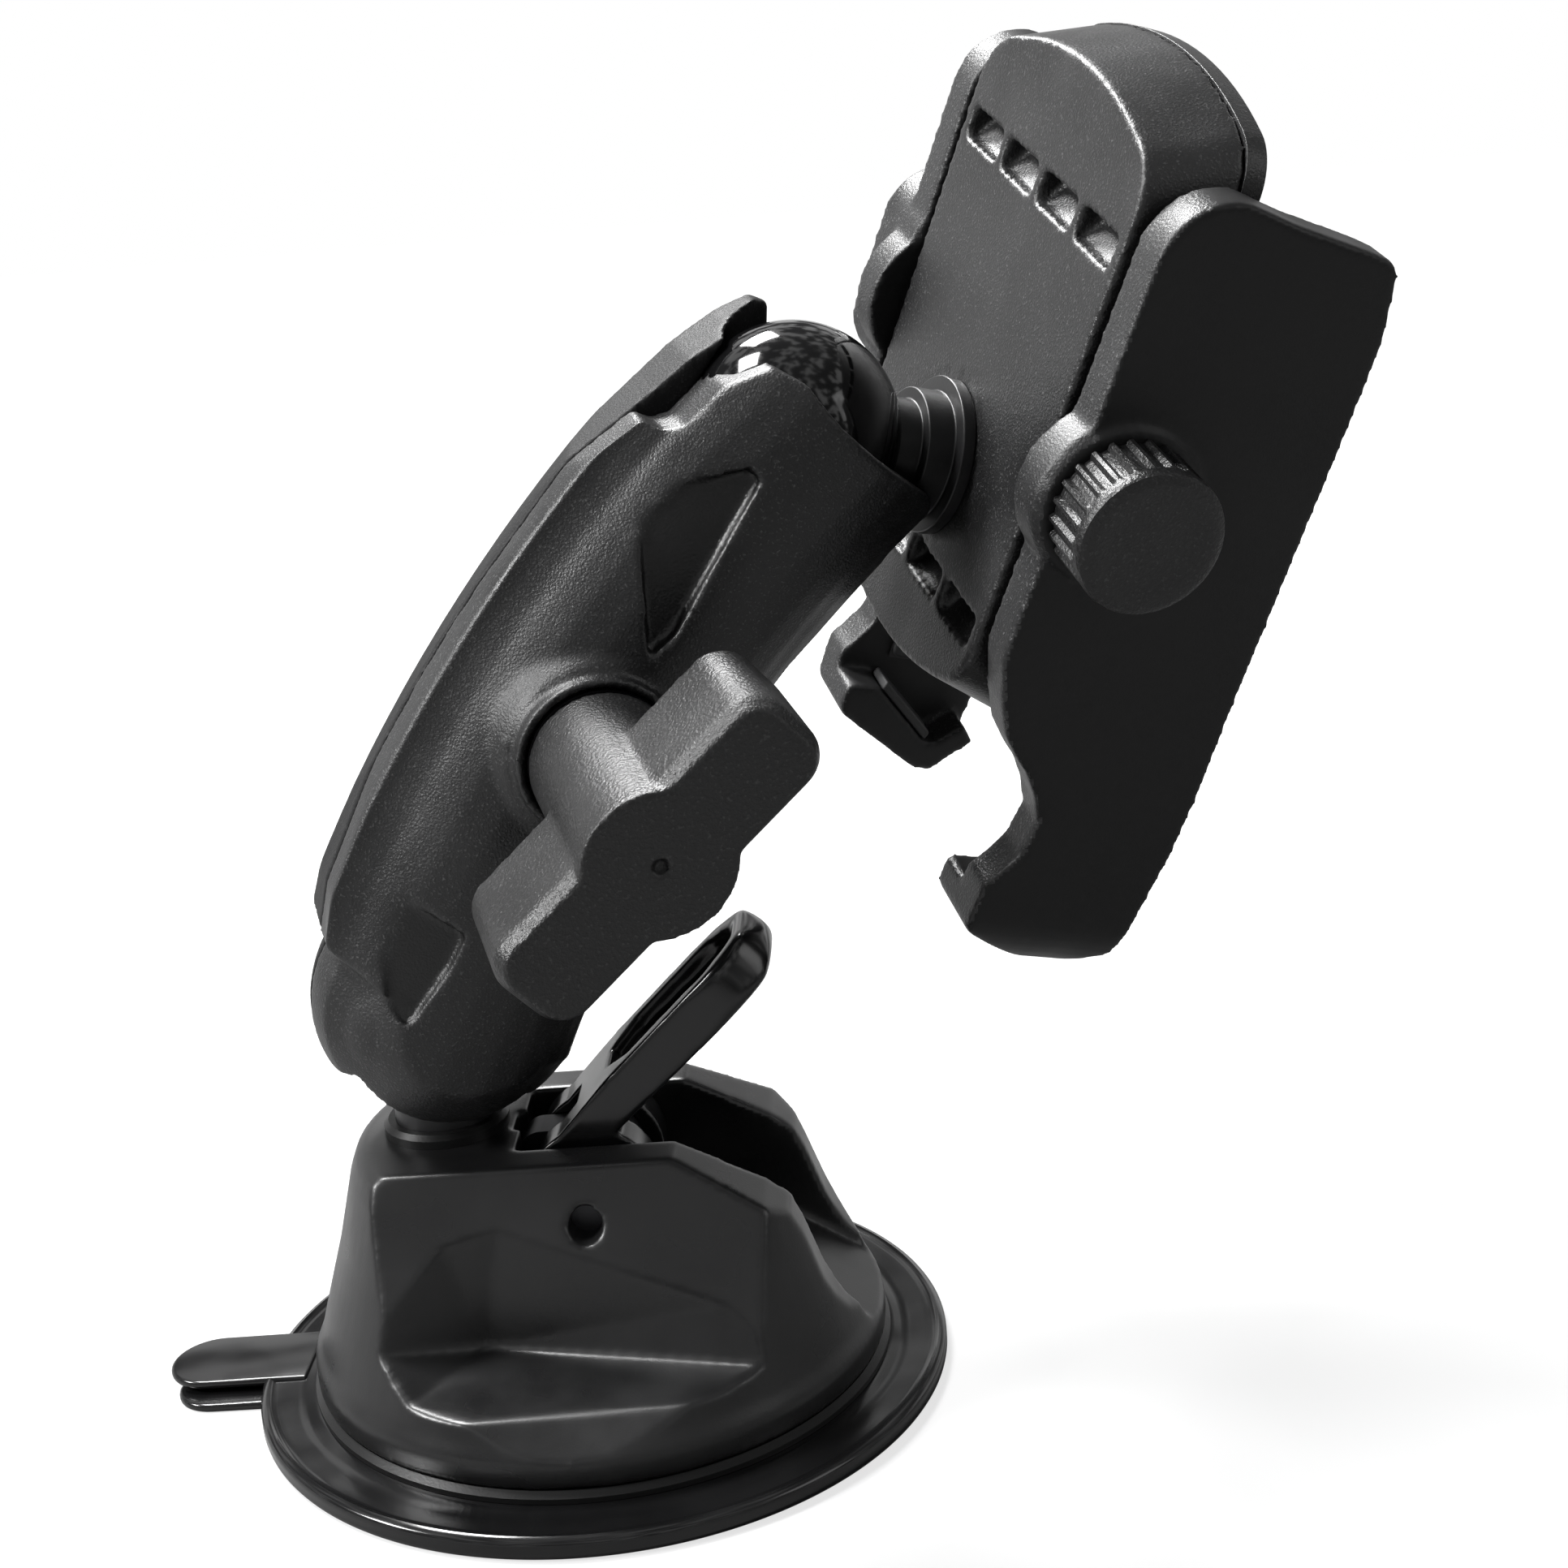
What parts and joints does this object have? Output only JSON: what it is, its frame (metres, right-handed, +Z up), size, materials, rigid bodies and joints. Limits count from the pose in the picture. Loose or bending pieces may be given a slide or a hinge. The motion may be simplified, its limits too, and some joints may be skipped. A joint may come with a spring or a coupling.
{
  "type": "suction cup phone holder",
  "caption": "Suction base with a cam lever, an arm of clamped shells on ball joints, and a phone clamp whose jaws open together by one knob.",
  "frame": {"origin": "centre of the suction disc's underside", "axes": "+Z up from the resting surface, +X from the ball post towards the lever"},
  "size_m": [0.1551, 0.1059, 0.1588],
  "materials": {
    "disc_rubber": "glossy",
    "seal_rubber": "satin",
    "housing_plastic": "satin, fine grain",
    "lever_plastic": "gloss",
    "ball_plastic": "high gloss",
    "shell_plastic": "satin, sparkling grain",
    "knob_plastic": "coarse grain",
    "jaw_plastic": "smooth matte",
    "pad_rubber": "matte",
    "steel": "turned",
    "spring_steel": "drawn wire",
    "insert_brass": "turned",
    "gear_plastic": "natural acetal",
    "stud_plastic": "satin"
  },
  "bodies": {
    "base": {"suction_disc": "disc_rubber", "base_gasket": "seal_rubber", "base_housing": "housing_plastic", "lever_pin": "steel", "return_spring": "spring_steel", "lower_ball_stud": "stud_plastic", "post_collar": "seal_rubber", "post_screw": "steel"},
    "lever": {"cam_lever": "lever_plastic"},
    "stem": {"disc_stem": "steel"},
    "lower_skin": {"lower_ball_cover": "ball_plastic"},
    "arm": {"arm_front_shell": "shell_plastic", "arm_rear_shell": "shell_plastic", "clamp_bolt": "steel", "knob_washer": "steel", "arm_spring": "spring_steel"},
    "knob": {"wing_knob": "knob_plastic", "knob_insert": "insert_brass"},
    "upper_skin": {"upper_ball_cover": "ball_plastic"},
    "clamp": {"upper_ball_stud": "stud_plastic", "flange_screws": "steel", "clamp_back_shell": "shell_plastic", "clamp_front_cover": "shell_plastic", "front_pad": "pad_rubber", "cover_screws": "steel", "screw_nut": "insert_brass", "tube_bush": "insert_brass"},
    "gear": {"pinion": "gear_plastic"},
    "right_grip": {"right_jaw": "jaw_plastic", "right_rack": "gear_plastic", "right_side_pad": "pad_rubber", "right_foot_pad": "pad_rubber", "thrust_washer": "gear_plastic"},
    "screw": {"lead_screw": "steel", "screw_knob": "knob_plastic", "retaining_clip": "steel"},
    "left_grip": {"left_jaw": "jaw_plastic", "left_rack": "gear_plastic", "left_side_pad": "pad_rubber", "left_foot_pad": "pad_rubber", "guide_tube": "steel", "tube_cap": "knob_plastic"}
  },
  "joints": [
    {"name": "lever_hinge", "type": "hinge", "parent": "base", "child": "lever", "pos_m": [0.0019, 0, 0.0278], "axis": [0, 1, 0], "range_deg": [0, 75]},
    {"name": "stem_slide", "type": "slide", "parent": "base", "child": "stem", "axis": [0, 0, 1], "range_m": [0, 0.00313], "deforming": ["return_spring"]},
    {"name": "post_swivel", "type": "hinge", "parent": "base", "child": "lower_skin", "pos_m": [-0.0165, 0, 0.051], "axis": [0, 0, 1], "continuous": true},
    {"name": "arm_tilt", "type": "hinge", "parent": "lower_skin", "child": "arm", "pos_m": [-0.0165, 0, 0.051], "axis": [0.2849, -0.9483, -0.14], "range_deg": [-10, 35]},
    {"name": "knob_turn", "type": "hinge", "parent": "arm", "child": "knob", "pos_m": [0.00474, 0.00134, 0.0851], "axis": [0.2849, -0.9483, -0.14], "continuous": true},
    {"name": "clamp_tilt", "type": "hinge", "parent": "arm", "child": "upper_skin", "pos_m": [0.03295, 0.00528, 0.11582], "axis": [0.2849, -0.9483, -0.14], "range_deg": [-12, 50]},
    {"name": "clamp_spin", "type": "hinge", "parent": "upper_skin", "child": "clamp", "pos_m": [0.03295, 0.00528, 0.11582], "axis": [0.8884, 0.3661, -0.2769], "continuous": true},
    {"name": "screw_turn", "type": "hinge", "parent": "right_grip", "child": "screw", "pos_m": [0.06796, -0.0155, 0.10782], "axis": [0.2738, -0.9068, -0.3206], "range_deg": [0, 1621]},
    {"name": "right_slide", "type": "slide", "parent": "clamp", "child": "right_grip", "axis": [0.2738, -0.9068, -0.3206], "range_m": [0, 0.018]},
    {"name": "left_slide", "type": "slide", "parent": "clamp", "child": "left_grip", "axis": [-0.2738, 0.9068, 0.3206], "range_m": [0, 0.0181]},
    {"name": "gear_turn", "type": "hinge", "parent": "clamp", "child": "gear", "pos_m": [0.06652, 0.00974, 0.13189], "axis": [-0.8884, -0.3661, 0.2769], "range_deg": [-207, 0]}
  ],
  "couplings": [
    {"joint": "lever_hinge", "follows": "stem_slide", "rad_per_m": 417.08},
    {"joint": "screw_turn", "follows": "right_slide", "rad_per_m": 1570.8},
    {"joint": "left_slide", "follows": "right_slide", "ratio": 1},
    {"joint": "gear_turn", "follows": "right_slide", "rad_per_m": -200}
  ]
}
